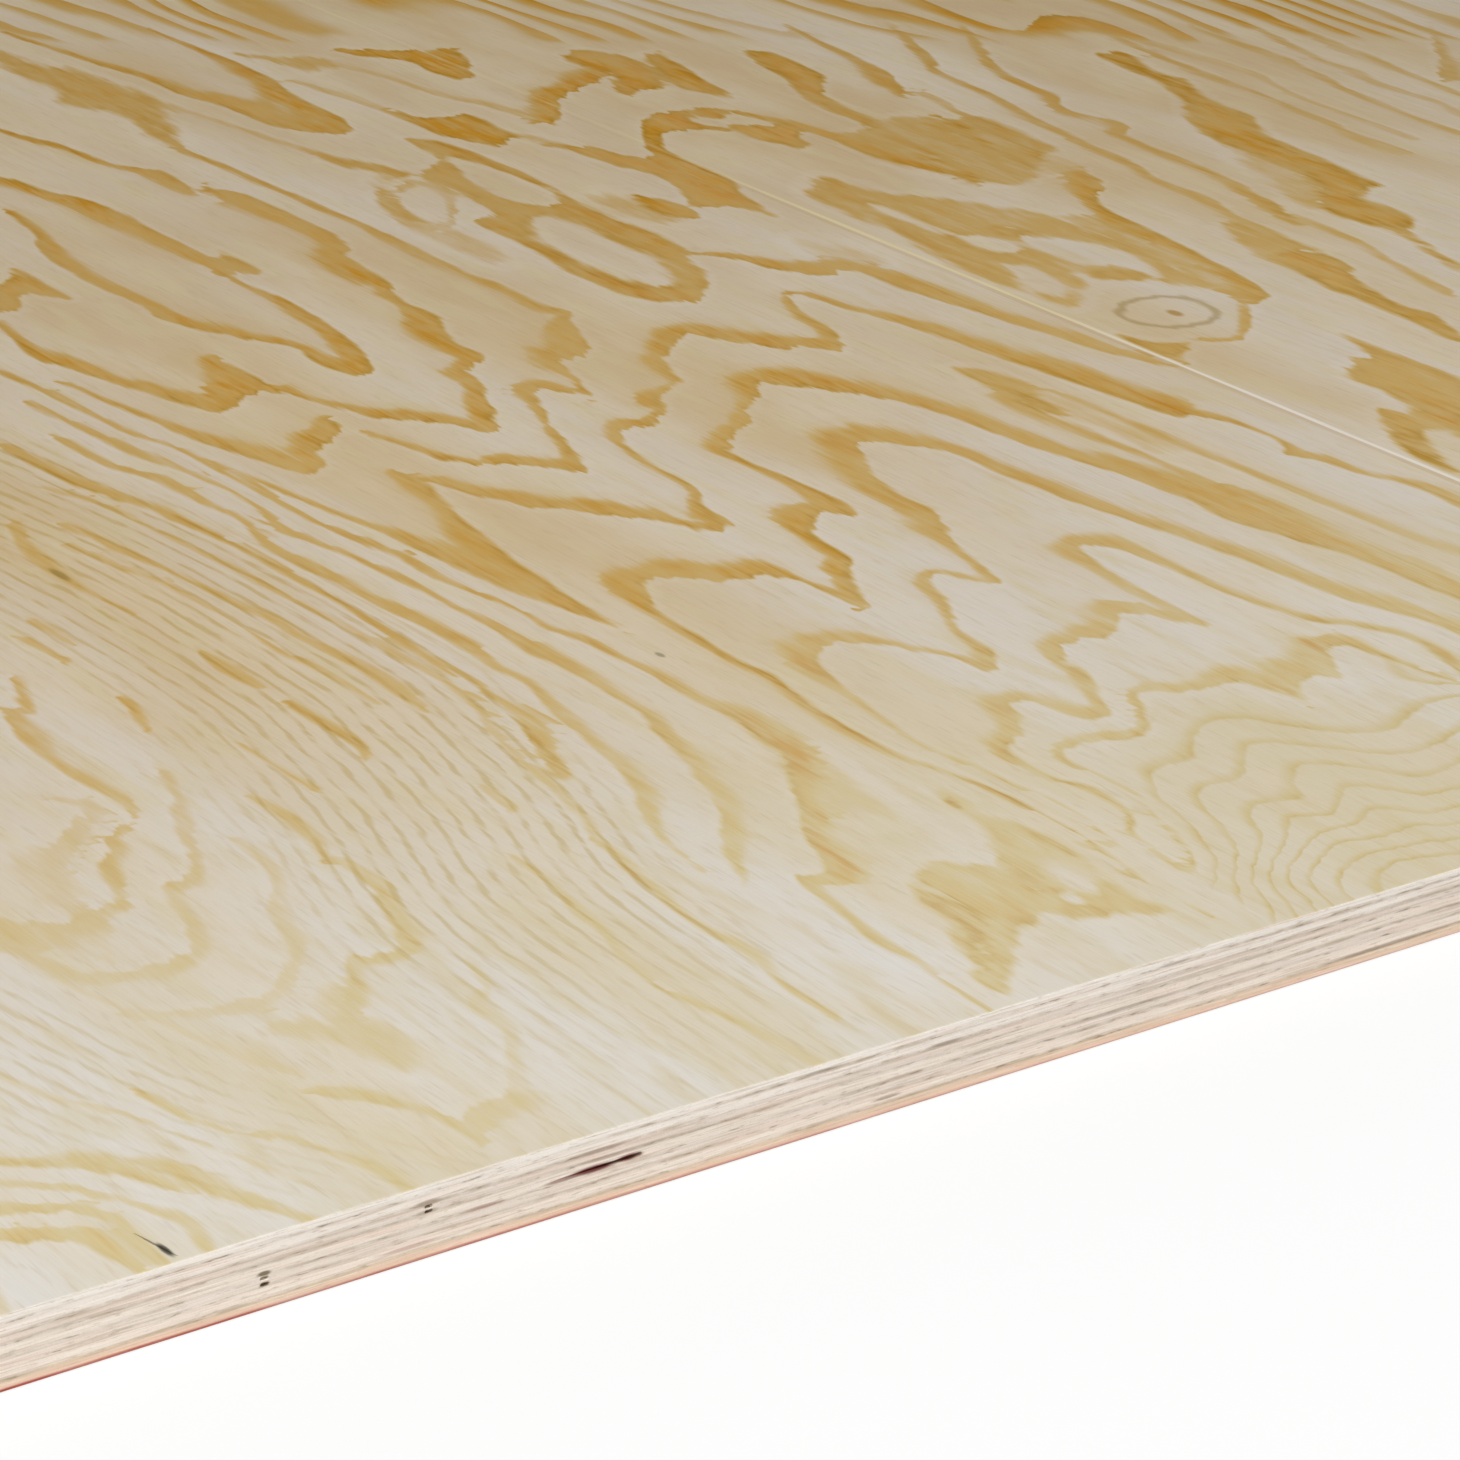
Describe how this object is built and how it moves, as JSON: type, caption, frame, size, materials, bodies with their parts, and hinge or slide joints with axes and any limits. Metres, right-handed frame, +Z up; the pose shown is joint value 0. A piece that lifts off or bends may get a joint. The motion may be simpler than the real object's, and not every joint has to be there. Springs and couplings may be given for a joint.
{
  "type": "plywood sheet",
  "caption": "Flat rectangular softwood plywood sheet: crossed veneer plies show on its sawn edges, under a face with wavy golden grain and a long veneer joint.",
  "frame": {"origin": "on the floor, under the middle of the sheet: the centre of its back face", "axes": "+X along the sheet's length and its face grain, towards the pictured end; +Y across the width; +Z up, out of the face"},
  "size_m": [2.44, 1.22, 0.018],
  "materials": {
    "face_veneer": "sanded rotary-cut softwood veneer, pale with golden latewood figure",
    "crossband": "sawn veneer edge, long fibres and glue lines",
    "core_ply": "sawn veneer edge, end grain and glue lines",
    "back_veneer": "rotary-cut softwood veneer, pale with a reddish lower arris"
  },
  "bodies": {
    "root": {"back_veneer": "back_veneer", "crossband_lower": "crossband", "core_ply_lower": "core_ply", "crossband_middle": "crossband", "core_ply_upper": "core_ply", "crossband_upper": "crossband", "face_veneer_left": "face_veneer", "face_veneer_right": "face_veneer"}
  },
  "joints": []
}
